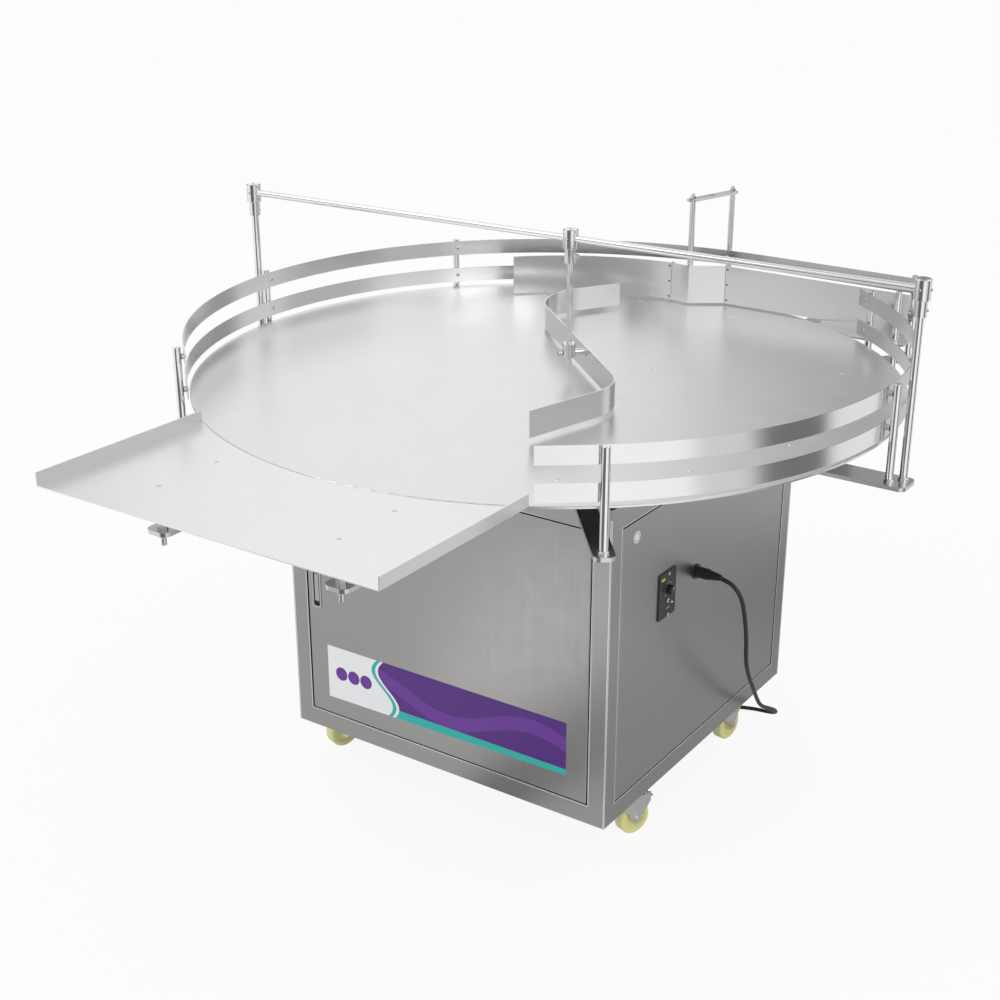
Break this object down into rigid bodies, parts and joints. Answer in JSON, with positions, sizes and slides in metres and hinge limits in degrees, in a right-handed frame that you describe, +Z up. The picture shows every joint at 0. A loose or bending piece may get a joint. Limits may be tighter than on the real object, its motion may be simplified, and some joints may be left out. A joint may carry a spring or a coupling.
{
  "type": "rotary feeding table",
  "caption": "Rotary feeding table: a turning steel disc with guard rails, an infeed tray and an adjustable outlet gate on a wheeled cabinet with a hinged door.",
  "frame": {"origin": "on the floor, on the axis of the disc", "axes": "+Z up along the disc axis; +Y from the infeed tray and door to the back; +X to the right seen from the door, towards the controller side"},
  "size_m": [1.618, 1.8814, 1.2],
  "materials": {
    "brushed_panel": "brushed",
    "disc_steel": "brushed",
    "band_steel": "satin",
    "tray_steel": "satin",
    "post_chrome": "polished",
    "arm_steel": "brushed",
    "fixing_zinc": "zinc plated",
    "caster_zinc": "zinc plated",
    "wheel_nylon": "matte",
    "pedal_chrome": "polished",
    "black_plastic": "matte",
    "knob_plastic": "matte",
    "cord_rubber": "matte",
    "belt_rubber": "matte",
    "pulley_alloy": "turned",
    "backing_alloy": "satin",
    "housing_iron": "cast",
    "motor_paint": "painted",
    "spindle_steel": "turned"
  },
  "bodies": {
    "chassis": {"cabinet_frame": "brushed_panel", "cabinet_top_plate": "brushed_panel", "side_panels": "brushed_panel", "right_panel": "brushed_panel", "drive_bridge": "brushed_panel", "bearing_housings": "housing_iron", "gear_motor": "motor_paint", "drive_belt": "belt_rubber", "rail_arms": "arm_steel", "rail_posts": "post_chrome", "tall_posts": "post_chrome", "rail_fixings": "fixing_zinc", "right_rails": "band_steel", "left_rails": "band_steel", "bar_end_knuckles": "post_chrome", "cross_bar": "post_chrome", "outlet_wall": "band_steel", "transfer_plate": "disc_steel", "infeed_tray": "tray_steel", "tray_support_bars": "arm_steel", "tray_studs": "fixing_zinc", "speed_controller": "black_plastic", "cord_gland": "black_plastic", "power_cord": "cord_rubber", "cord_coil": "cord_rubber", "mains_plug": "black_plastic", "caster_plates": "caster_zinc"},
    "disc": {"turntable_disc": "disc_steel", "disc_backing": "backing_alloy", "main_spindle": "spindle_steel", "driven_pulley": "pulley_alloy"},
    "motor_pulley": {"drive_pulley": "pulley_alloy"},
    "door": {"door_panel": "brushed_panel", "door_latch_housing": "brushed_panel"},
    "latch": {"door_latch_lever": "brushed_panel"},
    "slider": {"guide_slider": "post_chrome"},
    "slider_screw": {"slider_thumb_screw": "post_chrome"},
    "hanging_rod": {"guide_rod": "post_chrome"},
    "guide": {"guide_clamp": "post_chrome", "guide_band": "band_steel"},
    "clamp_screw": {"clamp_thumb_screw": "post_chrome"},
    "gate_fold": {"gate_fold_plate": "band_steel", "gate_fold_rod": "post_chrome"},
    "gate_curve": {"gate_curved_plate": "band_steel"},
    "gate_link": {"gate_slotted_bar": "band_steel"},
    "knob": {"speed_knob": "knob_plastic"},
    "switch": {"run_switch": "post_chrome"},
    "fork_front_left": {"caster_fork_front_left": "caster_zinc"},
    "wheel_front_left": {"caster_wheel_front_left": "wheel_nylon"},
    "pedal_front_left": {"brake_pedal_front_left": "pedal_chrome"},
    "fork_front_right": {"caster_fork_front_right": "caster_zinc"},
    "wheel_front_right": {"caster_wheel_front_right": "wheel_nylon"},
    "pedal_front_right": {"brake_pedal_front_right": "pedal_chrome"},
    "fork_back_right": {"caster_fork_back_right": "caster_zinc"},
    "wheel_back_right": {"caster_wheel_back_right": "wheel_nylon"},
    "pedal_back_right": {"brake_pedal_back_right": "pedal_chrome"},
    "fork_back_left": {"caster_fork_back_left": "caster_zinc"},
    "wheel_back_left": {"caster_wheel_back_left": "wheel_nylon"},
    "pedal_back_left": {"brake_pedal_back_left": "pedal_chrome"}
  },
  "joints": [
    {"name": "disc_spin", "type": "hinge", "parent": "chassis", "child": "disc", "pos_m": [0, 0, 0.88], "axis": [0, 0, 1], "continuous": true},
    {"name": "motor_pulley_spin", "type": "hinge", "parent": "chassis", "child": "motor_pulley", "pos_m": [-0.24, 0, 0.562], "axis": [0, 0, 1], "continuous": true},
    {"name": "door_swing", "type": "hinge", "parent": "chassis", "child": "door", "pos_m": [0.3465, -0.3895, 0.4465], "axis": [0, 0, 1], "range_deg": [0, 100]},
    {"name": "latch_pull", "type": "hinge", "parent": "door", "child": "latch", "pos_m": [-0.3315, -0.394, 0.4745], "axis": [-1, 0, 0], "range_deg": [0, 35]},
    {"name": "slider_along_bar", "type": "slide", "parent": "chassis", "child": "slider", "axis": [0.9991, 0.0418, 0], "range_m": [-0.07, 0.07]},
    {"name": "slider_screw_turn", "type": "hinge", "parent": "slider", "child": "slider_screw", "pos_m": [0.046, 0.00192, 1.144], "axis": [0.9848, -0.1736, 0], "range_deg": [-180, 180]},
    {"name": "rod_height", "type": "slide", "parent": "slider", "child": "hanging_rod", "axis": [0, 0, 1], "range_m": [-0.005, 0.018]},
    {"name": "guide_turn", "type": "hinge", "parent": "hanging_rod", "child": "guide", "pos_m": [0.046, 0.00192, 0.942], "axis": [0, 0, 1], "range_deg": [-15, 15]},
    {"name": "clamp_screw_turn", "type": "hinge", "parent": "guide", "child": "clamp_screw", "pos_m": [0.046, 0.00192, 0.9375], "axis": [-0.6719, -0.7407, 0], "range_deg": [-180, 180]},
    {"name": "gate_fold_turn", "type": "hinge", "parent": "chassis", "child": "gate_fold", "pos_m": [0.052, 0.707, 0.935], "axis": [0, 0, 1], "range_deg": [-6, 6]},
    {"name": "gate_curve_turn", "type": "hinge", "parent": "gate_fold", "child": "gate_curve", "pos_m": [-0.0716, 0.66198, 0.935], "axis": [0, 0, 1], "range_deg": [-5, 5]},
    {"name": "gate_link_turn", "type": "hinge", "parent": "chassis", "child": "gate_link", "pos_m": [0.01046, 0.80075, 1.1398], "axis": [0, 0, 1], "range_deg": [-3, 3]},
    {"name": "speed_knob_turn", "type": "hinge", "parent": "chassis", "child": "knob", "pos_m": [0.401, -0.173, 0.55], "axis": [1, 0, 0], "range_deg": [-135, 135]},
    {"name": "run_switch_tip", "type": "hinge", "parent": "chassis", "child": "switch", "pos_m": [0.397, -0.174, 0.525], "axis": [0, 1, 0], "range_deg": [-12, 12]},
    {"name": "swivel_front_left", "type": "hinge", "parent": "chassis", "child": "fork_front_left", "pos_m": [-0.355, -0.262, 0.095], "axis": [0, 0, 1], "continuous": true},
    {"name": "wheel_spin_front_left", "type": "hinge", "parent": "fork_front_left", "child": "wheel_front_left", "pos_m": [-0.36551, -0.29434, 0.0375], "axis": [0.9511, -0.309, 0], "continuous": true},
    {"name": "brake_press_front_left", "type": "hinge", "parent": "fork_front_left", "child": "pedal_front_left", "pos_m": [-0.37416, -0.32097, 0.076], "axis": [0.9511, -0.309, 0], "range_deg": [0, 10]},
    {"name": "swivel_front_right", "type": "hinge", "parent": "chassis", "child": "fork_front_right", "pos_m": [0.355, -0.262, 0.095], "axis": [0, 0, 1], "continuous": true},
    {"name": "wheel_spin_front_right", "type": "hinge", "parent": "fork_front_right", "child": "wheel_front_right", "pos_m": [0.36663, -0.23005, 0.0375], "axis": [-0.9397, 0.342, 0], "continuous": true},
    {"name": "brake_press_front_right", "type": "hinge", "parent": "fork_front_right", "child": "pedal_front_right", "pos_m": [0.37621, -0.20374, 0.076], "axis": [-0.9397, 0.342, 0], "range_deg": [0, 10]},
    {"name": "swivel_back_right", "type": "hinge", "parent": "chassis", "child": "fork_back_right", "pos_m": [0.355, 0.262, 0.095], "axis": [0, 0, 1], "continuous": true},
    {"name": "wheel_spin_back_right", "type": "hinge", "parent": "fork_back_right", "child": "wheel_back_right", "pos_m": [0.35086, 0.22825, 0.0375], "axis": [0.9925, -0.1219, 0], "continuous": true},
    {"name": "brake_press_back_right", "type": "hinge", "parent": "fork_back_right", "child": "pedal_back_right", "pos_m": [0.34744, 0.20046, 0.076], "axis": [0.9925, -0.1219, 0], "range_deg": [0, 10]},
    {"name": "swivel_back_left", "type": "hinge", "parent": "chassis", "child": "fork_back_left", "pos_m": [-0.355, 0.262, 0.095], "axis": [0, 0, 1], "continuous": true},
    {"name": "wheel_spin_back_left", "type": "hinge", "parent": "fork_back_left", "child": "wheel_back_left", "pos_m": [-0.372, 0.29145, 0.0375], "axis": [-0.866, -0.5, 0], "continuous": true},
    {"name": "brake_press_back_left", "type": "hinge", "parent": "fork_back_left", "child": "pedal_back_left", "pos_m": [-0.386, 0.31569, 0.076], "axis": [-0.866, -0.5, 0], "range_deg": [0, 10]}
  ],
  "couplings": [
    {"joint": "motor_pulley_spin", "follows": "disc_spin", "ratio": 3},
    {"joint": "gate_link_turn", "follows": "gate_fold_turn", "ratio": 0.4361}
  ]
}
